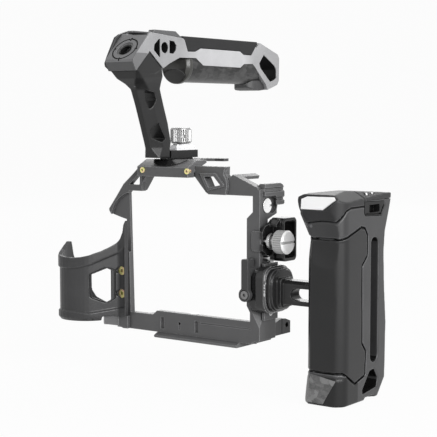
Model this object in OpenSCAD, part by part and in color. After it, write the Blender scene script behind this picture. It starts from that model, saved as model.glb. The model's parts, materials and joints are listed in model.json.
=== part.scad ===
// Camera cage with top handle, side handle and cable clamp. Millimetres.
// X to the right of the lens axis as seen from the front, Y to the rear, Z up.
// The origin is the centre of the tripod socket in the underside.

/* [Cage] */
// distance of the front face before the lens axis plane
front = 22; // [21.5:0.1:22.5]
// thickness of the front arch
arch_t = 4; // [3.5:0.1:4.5]
// height at which the camera stands
seat_z = 8; // [7.8:0.1:8.4]
// underside of the cage floor
floor_z = 3; // [2.8:0.1:3.2]
// rear edge of floor and top plate
back = 18; // [16:0.5:20]
// outer face of the right wall
side_x = 66; // [65.8:0.1:66.2]
// thickness of the right wall
side_t = 4; // [3.5:0.1:4.2]
// top face of the cage
top_z = 112.4; // [112:0.1:112.6]
// thickness of the top plate
top_t = 1.8; // [1.6:0.1:2.4]
// how far the visor stands before the front face
visor = 9; // [8:0.25:10]
// thickness of the silicone side grip
grip_t = 2.4; // [2:0.1:2.8]
// height of the raised rim of the side grip
grip_rim = 0.9; // [0.5:0.1:1.2]
// radius of the brass screws of the side grip
brass_r = 2.8; // [2.2:0.1:3]
// radius of the brass screws of the visor
visor_screw_r = 1.8; // [1.5:0.1:2.2]
// width of the dovetail plate at its foot
dovetail_w = 38; // [37.8:0.1:38.2]
// tap hole radius of a quarter inch thread
quarter_r = 2.55; // [2.5:0.01:2.65]
// tap hole radius of the thread in the rear block
block_hole_r = 1.65; // [1.25:0.05:1.7]

/* [Top handle] */
// centre plane of the top handle
hand_x = -9; // [-10:0.5:-8]
// half width of head, spine and rear ring
head_half = 10.9; // [10.5:0.1:11.3]
// half width of arm and base
arm_half = 6.2; // [6.1:0.1:6.6]
// half width of the neck of the top rail
rail_neck = 2.5; // [2.2:0.1:2.7]
// half width of the head of the top rail
rail_head = 4; // [3.7:0.1:4.1]
// radius of the grip sleeve
sleeve_r = 11.1; // [11:0.1:11.6]
// radius of the lock knob
knob_r = 6.8; // [6:0.1:7.5]
// height of the lock knob
knob_h = 10; // [9:0.5:11]
// tap hole radius of a three eighths inch thread
three_eighths_r = 4; // [3.9:0.05:4.2]

/* [Cable clamp] */
// radius of the clamp knob
cable_knob_r = 7; // [6.5:0.1:7.5]
// outer face of the shroud
shroud_x = 77; // [76:0.25:77.5]
// wall thickness of the shroud
shroud_t = 2; // [1.6:0.1:2.4]

/* [Side clamp] */
// half width of ring and rotor
rotor_r = 14; // [13.5:0.1:14]
// height of the turning axis
rotor_z = 36.5; // [36:0.1:37]
// height of the slotted bar
bar_h = 13; // [12.5:0.1:13.4]
// depth of the slotted bar
bar_d = 10; // [9.5:0.1:10.4]

/* [Side handle] */
// outer face of the side handle
handle_x = 128; // [127.8:0.2:129]
// thickness of the front rubber
rubber_t = 2.2; // [1.8:0.1:2.6]
// number of ribs of the rear rubber
rear_ribs = 24; // [16:1:28]

/* [Hidden] */
$fn = 48;
// gap between pieces that move against each other
gap = 0.3;
// radial clearance of a running fit
run = 0.05;

// colours
dark = [0.16, 0.16, 0.17];
mid = [0.27, 0.27, 0.28];
light = [0.55, 0.55, 0.56];
steel = [0.78, 0.78, 0.78];
rubber = [0.1, 0.1, 0.11];
brass = [0.75, 0.66, 0.3];

// an outline of Y and Z stretched along X
module along_x(x0, l) translate([x0, 0, 0]) rotate([90, 0, 90]) linear_extrude(l) children();
// an outline of X and Z stretched along Y
module along_y(y0, l) translate([0, y0 + l, 0]) rotate([90, 0, 0]) linear_extrude(l) children();
// round bars along X and Y
module cyl_x(x0, l, r) translate([x0, 0, 0]) rotate([0, 90, 0]) cylinder(h = l, r = r);
module cyl_y(y0, l, r) translate([0, y0 + l, 0]) rotate([90, 0, 0]) cylinder(h = l, r = r);
// a box from corner to corner
module box(a, b) translate(a) cube(b - a);
// a rectangle with rounded corners, from corner to corner
module round_rect(a, b, r) {
  translate([a.x + r, a.y]) square([b.x - a.x - 2 * r, b.y - a.y]);
  translate([a.x, a.y + r]) square([b.x - a.x, b.y - a.y - 2 * r]);
  for (x = [a.x + r, b.x - r], y = [a.y + r, b.y - r]) translate([x, y]) circle(r);
}
// a slot with round ends, from centre to centre
module slot_2d(a, b, r) {
  translate(a) circle(r);
  translate(b) circle(r);
  d = b - a;
  n = [-d.y, d.x] * r / norm(d);
  polygon([a + n, b + n, b - n, a - n]);
}
// a skin through rings of equally many points
module loft(rings) {
  n = len(rings[0]);
  k = len(rings);
  polyhedron(
    [for (q = rings, p = q) p],
    concat(
      [[for (i = [0 : n - 1]) i]],
      [for (j = [0 : k - 2], i = [0 : n - 1])
        [j * n + i, (j + 1) * n + i, (j + 1) * n + (i + 1) % n, j * n + (i + 1) % n]],
      [[for (i = [n - 1 : -1 : 0]) (k - 1) * n + i]]),
    convexity = 6);
}

// ---- cage frame ----
front_y = -front;
arch_back = front_y + arch_t;
wall_in = side_x - side_t;
visor_y = front_y - visor;

arch_outline = [[-21, top_z], [-22.5, 111.5], [-32.1, 102.8], [-40.3, 95.9], [-45.2, 89.3], [-52.6, 79.7],
  [-52.5, 78.5], [-50.9, 76.1], [-45, 74.5], [-39.5, 73.2], [-39.2, 66], [-41, 61], [-46, 56],
  [-46, floor_z], [59.4, floor_z], [62.9, 5], [63.3, 14.6], [side_x, 17], [side_x, 95.6],
  [46.4, 104.4], [42.9, 101.8], [41.2, 104.2], [41.4, 109], [19, 109], [19, top_z]];
window_outline = [[-34.6, 13.8], [-36.8, 90.6], [-35.4, 92], [-24.8, 92], [-24.8, 102], [18.5, 102.2],
  [28, 92], [60.9, 92], [60.9, 82.5], [56.6, 78.5], [56.6, 26], [59, 22], [59, 16.5], [-13, 16.5],
  [-16, 13.8]];
visor_top = 108;
wing_hole = [[-26.4, 103.2], [-27.4, 103.4], [-35.2, 95.9], [-26.4, 95.9]];
bracket_hole = [[26.8, 102.8], [34.2, 103], [39.1, 97.9], [30.2, 96.3]];
visor_profile = [[visor_y, 102], [visor_y, visor_top], [front_y, top_z], [-12, top_z], [-12, top_z - top_t],
  [front_y + 2, 107.5], [front_y, 107.5], [front_y - 3, 104.5], [front_y - 3, 102]];
wall_profile = [[front_y, floor_z + 2], [front_y, 96], [-2, 96], [-2, 92], [-4, 91], [-4, 81], [-13.5, 78],
  [-13.5, 54], [-5, 50], [-5, floor_z + 2]];
top_outline = [[-21, front_y + 1], [19, front_y + 1], [19, -14], [7, -8], [2.5, -4], [1, 4], [3, 9.5],
  [7, 12.5], [14, 13], [14, back], [-21, back]];
floor_outline = [[-46, front_y], [59.4, front_y], [62.9, front_y + 3], [62.9, 12], [58, back],
  [-40, back], [-46, 10]];
foot_outline = [[-35.5, front_y - 2.2], [-42.5, front_y - 2.8], [-47.3, -33.5], [-49.6, -31.5],
  [-47.5, -20], [-36, -20]];

// underside of the block beside the floor
block_z = 5.3;
block_x = 63.3;
lens_screw_r = 7.3;
screw_pocket_z = 5;
// rear end of the shoulder arms
arm_back = 1.4;
// lug
lug_y = -14.5;
lug_z = 86.2;
lug_r = 4.4;
lug_d = 1.5;

module cage_frame() color(dark) difference() {
  union() {
    along_y(front_y, arch_t) difference() {
      polygon(arch_outline);
      polygon(window_outline);
      polygon(wing_hole);
    }
    // hollow face of the wing
    along_x(-21, 40) polygon(visor_profile);
    // slanted side of the hump and the upright at its foot
    along_y(front_y + 1, 9) polygon([[-27.6, 93.6], [-22, 102], [-19, 102], [-19, 104.5], [-25, 104.5],
      [-25, 99.8], [-29.4, 93.6], [-28.8, 92]]);
    box([-26.6, front_y, 92], [-24.8, front_y + 2, 104.5]);
    box([-23, front_y - 1, 102], [-18, front_y + 1, 107]);
    box([-33.6, front_y, 92], [-24.8, front_y + 2, 95.9]);
    translate([0, 0, top_z - top_t]) linear_extrude(top_t) polygon(top_outline);
    // bracket to the right of the hump, before the arch
    along_y(front_y - 2, 3) polygon([[19, 109], [43, 109], [41.2, 107], [40.8, 104.2], [42.7, 101],
      [43.2, 97], [42, 92], [29.5, 92], [27.5, 93.2], [19, 102.4]]);
    along_y(front_y - 3.2, 3) difference() {
      polygon([[23.5, 104.8], [35.5, 105], [41.6, 98.5], [41, 97], [29.3, 94.2]]);
      polygon(bracket_hole);
    }
    // shoulder with two arms to the rear
    along_y(front_y, 6) polygon([[44, 101.8], [46.4, 104.4], [64.5, 97], [64.5, 92], [60, 92], [44, 97]]);
    along_y(front_y, arm_back - front_y) polygon([[44.8, 102.2], [46.4, 104.4], [49.6, 103.1],
      [48.9, 101.2]]);
    along_y(front_y + 2.7, arm_back - front_y - 2.7) polygon([[wall_in, 92], [68, 92], [68, 94.2], [67, 95],
      [67, 96.2], [68, 97], [68, 99.3], [64.2, 99.3], [63.2, 98.2], [wall_in, 98.2]]);
    along_y(-7.3, arm_back + 7.3) polygon([[wall_in, 86.2], [67.2, 86.2], [68, 87], [68, 88.6], [67, 89.4],
      [67, 90.4], [68, 91.2], [68, 92.5], [wall_in, 92.5]]);
    along_x(wall_in, side_t) polygon(wall_profile);
    along_x(wall_in - 0.1, side_t + 0.1) slot_2d([lug_y, lug_z], [lug_y + 5.7, lug_z], 5.5);
    // post inside the wall, gusset at its foot
    along_y(front_y, 8) polygon([[56.6, 26], [56.6, 78.5], [60.9, 82.5], [side_x, 82.5], [side_x, 17],
      [61, 17], [59, 22]]);
    translate([0, 0, floor_z]) linear_extrude(seat_z - floor_z) polygon(floor_outline);
    // foot of the side grip
    intersection() {
      translate([0, 0, floor_z]) linear_extrude(8) polygon(foot_outline);
      along_y(-50, 40) polygon([[-51, 6.8], [-46, 5.6], [-39, floor_z], [-30, floor_z], [-30, 12],
        [-51, 12]]);
    }
    // rear block beside the floor
    along_x(52, block_x - 52) polygon([[-5, block_z], [-5, 12.4], [5.4, 15.1], [10.1, 14.7], [15.6, 12.8],
      [15.6, block_z]]);
    box([56, -3, floor_z], [block_x - 0.8, 6, block_z + 0.1]);
  }
  for (y = [-3.3, 5.9]) box([block_x - 0.6, y, 0], [block_x + 1, y + 0.7, 20]);
  // bevel of the post under the clamp, leaning out to the corner
  translate([59.2, front_y, 24.6]) rotate([0, 150, 0])
    linear_extrude(16) polygon([[0, -1], [0, 0], [-4, 4], [-9, 4], [-9, -1]]);
  // bevel under the right edge of the floor
  along_y(arch_back - 1.5, 40) polygon([[53.5, floor_z - 1], [53.5, floor_z], [57.5, block_z],
    [70, block_z], [70, floor_z - 1]]);
  along_y(visor_y, 14) polygon(bracket_hole);
  // rounded rear ends of the shoulder arms
  along_x(58, 12) polygon([[arm_back - 4.5, 99.4], [arm_back - 2, 98.4], [arm_back, 96.2],
    [arm_back + 1, 100]]);
  // concave face of the wing
  translate([-32, 0, 71.5]) cyl_y(front_y - 1, 3.2, 19.5);
  // recess of the lug screw
  along_x(side_x - lug_d, 3) slot_2d([lug_y, lug_z], [lug_y + 5.7, lug_z], lug_r + 0.4);
  // way of the camera screw, clearance of a dovetail clamp behind the plate
  cylinder(h = 20, r = 3.3);
  cylinder(h = screw_pocket_z, r = lens_screw_r + 0.3);
  box([-60, plate_front + dovetail_w - bevel, -1], [54, back + 1, 1.5 + bevel]);
  // notches, hole and tick of the front lip
  box([-9.8, front_y - 1, 5.5], [-7.2, front_y + 1, 12.7]);
  box([17.4, front_y - 1, 5.5], [20, front_y + 1, 12.7]);
  translate([5.2, 0, 10]) cyl_y(front_y - 1, 3, 0.9);
  box([4.9, front_y - 1, 6], [5.5, front_y + 0.4, 8.4]);
  box([21.6, front_y - 1, 11.7], [60, front_y + 0.5, 12.3]);
  // hole of the rear block, way of the clamp screw through the wall, screw holes of both rails
  translate([0, 11.7, 10.6]) cyl_x(51, 20, block_hole_r);
  translate([0, cable_y, cable_z]) cyl_x(50, 20, 2.4);
  for (y = rail_screw_y) translate([hand_x, y, top_z - 5]) cylinder(h = 9, r = 1.2);
  for (z = side_screw_z) translate([0, side_rail_y, z]) cyl_x(wall_in - 4, 12, 1.2);
  for (x = plate_screw_x) translate([x, plate_screw_y, -1]) cylinder(h = 7.2, r = 1.2);
  for (z = grip_screw_z) translate([grip_screw_x, 0, z]) cyl_y(front_y - 3, 6, 1.2);
  for (x = visor_screw_x) translate([x, 0, visor_screw_z]) cyl_y(visor_y - 1, 4, 1);
}

// ---- plate under the cage ----
plate_x0 = -12.3;
plate_l = 63.8;
plate_front = -25.8;
plate_screw_x = [-9.5, 20, 44];
plate_screw_y = -7.8;
bevel = 4;
module dovetail_plate() color(mid) difference() {
  along_x(plate_x0, plate_l) polygon([[plate_front + 0.7, 0], [plate_front, 0.7], [plate_front, 1.5],
    [front_y - 0.4, floor_z], [plate_front + dovetail_w - bevel, floor_z],
    [plate_front + dovetail_w - bevel, 1.5 + bevel], [plate_front + dovetail_w, 1.5],
    [plate_front + dovetail_w, 0.7], [plate_front + dovetail_w - 0.7, 0]]);
  translate([0, 0, -1]) cylinder(h = 9, r = lens_screw_r + 0.3);
  for (x = plate_screw_x) translate([x, plate_screw_y, 0]) {
    translate([0, 0, -1]) cylinder(h = 9, r = 1.5);
    translate([0, 0, -1]) cylinder(h = 2.8, r = 2.9);
  }
}
module plate_screws() color(steel) for (x = plate_screw_x) translate([x, plate_screw_y, 0]) difference() {
  union() {
    translate([0, 0, 0.3]) cylinder(h = 1.5, r = 2.8);
    translate([0, 0, 1.8]) cylinder(h = 4, r = 1.2);
  }
  cylinder(h = 1.2, r = 1.3, $fn = 6);
}
module camera_screw() color(steel) difference() {
  union() {
    cylinder(h = 5, r = lens_screw_r);
    translate([0, 0, 5]) cylinder(h = 8.2, r = 3.1);
  }
  translate([0, 0, -1]) cylinder(h = 5.5, r = quarter_r);
  for (a = [0, 180]) rotate(a) translate([5, 0, -1]) cylinder(h = 3, r = 0.9);
}

// ---- silicone side grip ----
grip_path = [[-35.2, -24.4], [-39, -24.4], [-42.9, -25.2], [-46.5, -31], [-51.5, -39.3], [-57.5, -44.3],
  [-66, -46.4], [-73.5, -44.5], [-78, -38], [-79.3, -28], [-79.3, -14], [-78.5, 4]];
grip_screw_x = -39.3;
grip_z = 8.4;
grip_screw_z = [25.6, 40.3];
// a point between two guide points of a smooth path
function smooth(p, i, t) =
  let(n = len(p) - 1, a = p[max(i - 1, 0)], b = p[i], c = p[i + 1], d = p[min(i + 2, n)])
  0.5 * ((2 * b) + (c - a) * t + (2 * a - 5 * b + 4 * c - d) * t * t
    + (3 * b - a - 3 * c + d) * t * t * t);
function smooth_path(p, k) = concat([for (i = [0 : len(p) - 2], j = [0 : k - 1]) smooth(p, i, j / k)],
  [p[len(p) - 1]]);
// the path moved sideways by d, inward when positive
function shift(p, d) = [for (i = [0 : len(p) - 1]) let(
  v = p[min(i + 1, len(p) - 1)] - p[max(i - 1, 0)], u = v / norm(v)) p[i] + d * [-u.y, u.x]];
function backward(p) = [for (i = [len(p) - 1 : -1 : 0]) p[i]];
grip_line = smooth_path(grip_path, 3);
// a wall along the path between two depths, standing to height h
module grip_wall(d0, d1) translate([0, 0, grip_z]) linear_extrude(75)
  polygon(concat(shift(grip_line, -d1), backward(shift(grip_line, -d0))));
rim_upper = [[-35, 73.5], [-36.8, 70], [-37.6, 65.4], [-39.5, 61.3], [-43.5, 56.6], [-47.4, 53.4],
  [-52, 51], [-56.5, 49.8], [-62, 49.3], [-67, 49.4], [-73, 50], [-73, 90], [-90, 90], [-90, 5],
  [-35, 5]];
rim_side = [[-60, 50], [-44, 50], [-38, 53], [-32, 57.3], [-30, 57.5], [-29.2, 54], [-28.2, 49],
  [-25.5, 42], [-16, 30], [-6, 18], [6, 12], [6, 5], [-60, 5]];
module side_grip() color(rubber) difference() {
  union() {
    intersection() {
      grip_wall(-grip_t, 0);
      along_y(-60, 80) polygon(rim_upper);
      grip_side_limit();
    }
    // raised rim round the panel
    intersection() {
      grip_wall(0, grip_rim);
      along_y(-60, 80) difference() {
        polygon(rim_upper);
        polygon([[-37.8, 54], [-41, 52.5], [-46, 49.2], [-51, 45.6], [-58, 43.7], [-66, 43.2], [-90, 43.2],
          [-90, 14], [-60, 14.5], [-52, 13.5], [-46, 14.5], [-37.8, 16.5]]);
      }
      grip_side_limit();
    }
    intersection() {
      grip_wall(0, grip_rim);
      box([-90, -38, 5], [-70, 20, 80]);
      along_x(-90, 30) difference() {
        polygon(rim_side);
        polygon([[-60, 43.2], [-42, 43.2], [-30, 50], [-24, 40], [-12, 23], [-6, 14], [-60, 14]]);
      }
    }
  }
  // window
  along_y(-60, 38) polygon(grip_window);
  // seat on the foot of the cage
  box([-50.5, -36, 0], [-30, 0, 11 + gap / 2]);
  for (z = grip_screw_z) translate([grip_screw_x, 0, z]) cyl_y(-30, 10, brass_r);
  // bevel at the lower edge
  intersection() {
    grip_wall(-1.2, 3);
    box([-90, -60, 0], [-30, 20, grip_z + 1.6]);
  }
}
grip_window = [[-43.6, 40.6], [-45.6, 42.6], [-51.6, 38.6], [-51.4, 23.9], [-45.6, 20], [-43.6, 22.4]];
module grip_side_limit() {
  along_x(-90, 20) polygon(rim_side);
  box([-70.01, -60, 0], [-30, 20, 90]);
}
module grip_screws() color(brass) for (z = grip_screw_z) translate([grip_screw_x, 0, z]) difference() {
  union() {
    cyl_y(front_y - grip_t - 0.9, 3.2 - gap / 2, brass_r);
    cyl_y(front_y - 1, 3.8, 1.2);
  }
  translate([0, front_y - grip_t + 0.3, 0]) rotate([90, 0, 0]) cylinder(h = 3, r = 1.2, $fn = 6);
}

// ---- visor ----
visor_screw_x = [-16.4, 18.7];
visor_screw_z = 105.9;
module visor_screws() color(brass) for (x = visor_screw_x) translate([x, 0, visor_screw_z]) difference() {
  union() {
    cyl_y(visor_y - 0.7, 0.7, visor_screw_r);
    cyl_y(visor_y, 2.8, 1);
  }
  translate([0, visor_y - 0.1, 0]) rotate([90, 0, 0]) cylinder(h = 1, r = 0.8, $fn = 6);
}
visor_slope = atan2(top_z - visor_top, visor);
inlay_l = norm([visor, top_z - visor_top]) - 1;
module visor_inlay() color([0.03, 0.03, 0.03]) translate([-1, visor_y, visor_top])
  rotate([visor_slope, 0, 0]) linear_extrude(0.5) intersection() {
    translate([0, 15]) circle(r = 14.3, $fn = 96);
    translate([-20, 0.5]) square([40, inlay_l]);
  }

// ---- top rail ----
rail_y0 = -20;
rail_y1 = 7;
rail_neck_h = 2.2;
rail_h = 4;
rail_screw_y = [-15, 3.4];
module top_rail() color(mid) difference() {
  union() {
    box([hand_x - rail_neck, rail_y0, top_z], [hand_x + rail_neck, rail_y1, top_z + rail_neck_h + 0.1]);
    box([hand_x - rail_head, rail_y0, top_z + rail_neck_h], [hand_x + rail_head, rail_y1, top_z + rail_h]);
  }
  for (y = rail_screw_y) translate([hand_x, y, top_z]) {
    translate([0, 0, -1]) cylinder(h = 9, r = 1.25);
    translate([0, 0, rail_h - 2.2]) cylinder(h = 3, r = 2.2);
  }
}
module rail_screws() color(steel) for (y = rail_screw_y) translate([hand_x, y, top_z]) difference() {
  union() {
    translate([0, 0, rail_h - 2.2]) cylinder(h = 1.8, r = 2.1);
    translate([0, 0, -2.2]) cylinder(h = 4.2, r = 1.2);
  }
  translate([0, 0, rail_h - 1.4]) cylinder(h = 2, r = 1.1, $fn = 6);
}

module lug_screw() color(steel) translate([0, lug_y, lug_z]) difference() {
  cyl_x(side_x - lug_d, lug_d + 0.4, lug_r);
  box([side_x - 0.4, lug_r - 2.2, -0.6], [side_x + 2, lug_r + 1, 0.6]);
}

// ---- side rail ----
side_rail_y = -14;
side_rail_z = [18, 52];
side_screw_z = [22, 48];
side_neck = 5;
side_head = 7;
side_lip = 1.2;
side_rail_t = 3;
module side_rail() color(mid) difference() {
  union() {
    box([side_x, side_rail_y - side_neck, side_rail_z[0]],
      [side_x + side_lip + 0.1, side_rail_y + side_neck, side_rail_z[1]]);
    box([side_x + side_lip, side_rail_y - side_head, side_rail_z[0]],
      [side_x + side_rail_t, side_rail_y + side_head, side_rail_z[1]]);
  }
  for (z = side_screw_z) translate([side_x, side_rail_y, z]) {
    cyl_x(-1, 9, 1.25);
    cyl_x(1.4, 9, 2.2);
  }
}
module side_rail_screws() color(steel) for (z = side_screw_z) translate([side_x, side_rail_y, z])
  difference() {
  union() {
    cyl_x(1.4, 1.4, 2.1);
    cyl_x(-3, 4.6, 1.2);
  }
  cyl_x(2, 2, 1.1, $fn = 6);
}

// ---- cable clamp ----
cable_y = -19;
cable_z = 65.5;
block_t = 1.4;
stem_r = 2;
ear_x = side_x + block_t + gap;
ear_t = 2;
shroud_y = [-13.5, 1.4];
shroud_z = [52.9, 79];
pin_y = -17;
pin_z = 55;
module cable_block() color(mid) difference() {
  along_y(front_y - 1.3, 9) polygon([[60.8, 60.5], [62, 59.3], [side_x + block_t, 59.3],
    [side_x + block_t, 71.4], [62, 71.4], [60.8, 70.2]]);
  box([50, front_y, 50], [side_x, 0, 80]);
  translate([0, cable_y, cable_z]) cyl_x(60, 20, stem_r + run);
}
module cable_shroud() color(dark) difference() {
  union() {
    along_x(ear_x, shroud_x - ear_x) difference() {
      round_rect([shroud_y[0], shroud_z[0]], [shroud_y[1], shroud_z[1]], 3);
      round_rect([shroud_y[0] + shroud_t, shroud_z[0] + shroud_t],
        [shroud_y[1] - shroud_t, shroud_z[1] - shroud_t], 1.5);
    }
    along_x(ear_x, ear_t) polygon([[-24.5, 60], [-24.5, 71], [-21.5, 74.5], [-12, 77], [-12, 54],
      [-15, 52.6], [-20.5, 52.6], [-20.5, 58]]);
    along_x(ear_x, 7) polygon([[-17, 75.6], [-13.5, 78.2], [-12, 78.2], [-12, 75], [-17, 73.6]]);
  }
  along_x(ear_x - 1, ear_t + 2) {
    slot_2d([cable_y, cable_z], [cable_y - 3.4, cable_z], stem_r + 0.35);
    slot_2d([pin_y, pin_z], [pin_y - 3.4, pin_z], 1.5 + 0.35);
  }
}
module cable_pin() color(steel) translate([0, pin_y, pin_z]) {
  cyl_x(side_x, ear_t + block_t + 2 * gap, 1.5);
  cyl_x(ear_x + ear_t + gap, 1.5, 2.6);
}
module cable_stem() color(steel) translate([0, cable_y, cable_z]) {
  cyl_x(61, cable_knob_x + 1 - 61, stem_r);
  cyl_x(ear_x + ear_t + gap, cable_knob_x - ear_x - ear_t - gap, 3.2);
}
cable_knob_x = shroud_x + gap;
module cable_washer() color(steel) translate([0, cable_y, cable_z]) difference() {
  cyl_x(72, 1.7, 5);
  cyl_x(71, 4, 3.2);
}
knurls = 32;
module cable_knob() color(steel) translate([0, cable_y, cable_z]) difference() {
  union() {
    cyl_x(cable_knob_x, 6.4, cable_knob_r);
    translate([cable_knob_x + 6.4, 0, 0]) rotate([0, 90, 0])
      cylinder(h = 1, r1 = cable_knob_r, r2 = cable_knob_r - 0.8);
  }
  for (i = [0 : knurls - 1]) rotate([i * 360 / knurls, 0, 0]) translate([0, cable_knob_r, 0])
    rotate([45, 0, 0]) box([cable_knob_x + 0.6, -0.3, -0.3], [cable_knob_x + 6, 0.3, 0.3]);
  box([cable_knob_x + 6.2, -9, -0.7], [cable_knob_x + 9, 9, 0.7]);
  cyl_x(cable_knob_x - 1, 2, stem_r);
}

// ---- side clamp ----
rotor_y = side_rail_y;
body_x = side_x + gap;
body_end = 72;
rotor_x = 74 + gap;
disc_end = 77.5;
rotor_corner = 8;
shaft_r = 5;
flange_r = 7;
body_z = [rotor_z - 14, rotor_z + 14];
lever_x = 60.2;
lever_z = 33.5;
jaw_y = [-26.3, front_y - gap];
lever_y = -30;
module clamp_body() color(mid) difference() {
  union() {
    along_x(body_x, body_end - body_x) round_rect([rotor_y - 13.4, body_z[0]],
      [rotor_y + 13.4, body_z[1]], 7);
    // jaw before the post, with the boss of the lever pin
    along_y(jaw_y[0], jaw_y[1] - jaw_y[0]) {
      polygon([[lever_x - 1, lever_z + 4], [63, 46], [65, 49], [body_x + 0.1, 49], [body_x + 0.1, 24.5],
        [63.5, 24.5], [61, 28], [lever_x - 1, lever_z - 4]]);
      translate([lever_x, lever_z]) circle(4.1);
    }
  }
  // channel of the rail
  box([body_x - 1, rotor_y - side_neck - gap, 0], [side_x + side_lip + 0.1, rotor_y + side_neck + gap, 90]);
  box([side_x + side_lip - gap, rotor_y - side_head - gap, 0],
    [side_x + side_rail_t + gap, rotor_y + side_head + gap, 90]);
  translate([0, rotor_y, rotor_z]) {
    cyl_x(side_x + side_rail_t, 2.4, flange_r + gap);
    cyl_x(side_x, 20, shaft_r + run);
  }
  translate([lever_x, 0, lever_z]) cyl_y(-40, 30, 2);
}
// a slab along X with a rounded square face of half width r
module rotor_face(x0, l, r) along_x(x0, l) round_rect([-r, -r], [r, r], rotor_corner);
module rotor_ring() color(light) translate([0, rotor_y, rotor_z]) difference() {
  union() {
    rotor_face(body_end, 1.2, rotor_r);
    rotor_face(body_end, 2, rotor_r - 0.6);
  }
  cyl_x(body_end - 1, 5, shaft_r + run);
}
lever_top = [[58, 54.3], [58.8, 55], [62.2, 55], [63, 54.3]];
module clamp_lever() color(mid) difference() {
  union() {
    // boss
    translate([lever_x, 0, lever_z]) cyl_y(lever_y, jaw_y[0] - lever_y - gap, 4.1);
    // bar that hooks back beside the jaw
    along_y(lever_y, jaw_y[0] - lever_y - gap) polygon(concat([[58, 34]], lever_top, [[63, 34]]));
    along_y(lever_y, 7) polygon(concat([[58, 50]], lever_top, [[63, 50]]));
  }
  translate([lever_x, 0, lever_z]) cyl_y(-40, 30, 2 + run);
  translate([lever_x, 0, lever_z]) cyl_y(lever_y - 1, 2.4, 2.9);
}
module lever_pin() color(light) translate([lever_x, 0, lever_z]) difference() {
  union() {
    cyl_y(lever_y + 0.2, 0.9, 2.9 - gap);
    cyl_y(lever_y + 0.4, front_y - gap - lever_y - 0.4, 2);
  }
  cyl_y(lever_y - 1, 2, 1.1, $fn = 6);
}
bar_end = 120;
bar_z = rotor_z - 1.5;
bar_top = bar_z + bar_h / 2 + 1.4;
slot_r = 3.6;
module rotor_arm() color(mid) difference() {
  union() {
    translate([0, rotor_y, rotor_z]) {
      rotor_face(rotor_x, 2.2, rotor_r - 1.4);
      rotor_face(rotor_x, disc_end - rotor_x, rotor_r - 2.4);
    }
    along_x(disc_end - 0.5, bar_end - disc_end + 0.5) polygon([
      [rotor_y - bar_d / 2, bar_z - bar_h / 2], [rotor_y - bar_d / 2, bar_z + bar_h / 2 - 0.6],
      [rotor_y - bar_d / 2 + 2.2, bar_top], [rotor_y + bar_d / 2, bar_top],
      [rotor_y + bar_d / 2, bar_z - bar_h / 2]]);
    along_x(disc_end - 0.5, 3.5) round_rect([rotor_y - 7, bar_z - 8.5], [rotor_y + 7, bar_z + 9], 2.5);
  }
  along_y(rotor_y - 10, 20) slot_2d([89.5, bar_z], [112.9, bar_z], slot_r);
  translate([0, rotor_y, rotor_z]) cyl_x(70, 12.5, 2);
}
module rotor_shaft() color(steel) translate([0, rotor_y, rotor_z]) difference() {
  union() {
    cyl_x(side_x + 3.8, 1.3, flange_r);
    cyl_x(side_x + 5, rotor_x - side_x - 5, shaft_r);
  }
  cyl_x(60, 30, 2);
  cyl_x(60, 11.2, 3.6);
}
module rotor_screw() color(steel) translate([0, rotor_y, rotor_z]) difference() {
  union() {
    cyl_x(side_x + 4, 1.2, 3.5);
    cyl_x(side_x + 5, 11, 2);
  }
  cyl_x(60, 10.6, 1.4, $fn = 6);
}

// ---- side handle ----
grip_x = 104.2;
grip_y = [-31, 20];
corner_front = 9;
corner_rear = 5;
// plan with round corners, drawn in by d, standing out to the left and rear by the flare
module handle_plan(d, flare) {
  r = corner_front - d;
  q = corner_rear - d;
  left = grip_x - flare + d;
  right = handle_x - d;
  ahead = grip_y[0] - flare / 6 + d;
  rear = grip_y[1] + 4 + flare / 2 - d;
  translate([left, ahead + r]) square([right - left, rear - q - ahead - r]);
  translate([left + r, ahead]) square([right - left - 2 * r, 20]);
  translate([left + q, rear - 20]) square([right - left - 2 * q, 20]);
  for (x = [left + r, right - r]) translate([x, ahead + r]) circle(r);
  for (x = [left + q, right - q]) translate([x, rear - q]) circle(q);
}
handle_front = [[102.6, 40], [103.4, 5], [102.7, -9], [100.6, -23], [101.6, -26.4], [116, -27.4],
  [handle_x + 1, -25], [handle_x + 1, 98.4], [101, 95.5], [96.6, 93.4], [95, 90.8], [97.3, 83.2],
  [104, 69.4], [103, 62], [102.4, 54]];
handle_side = [[-30.6, 50], [-30.2, 35], [-30.5, -10], [-31.2, -25.3], [10.3, -26.3], [19.7, -15],
  [20.5, 18], [18.3, 40], [17.3, 60], [18.5, 72], [23, 84], [26.6, 94.4], [-13, 97], [-30.5, 94.6],
  [-32.3, 92], [-32.3, 86.3], [-31.2, 72]];
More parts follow.
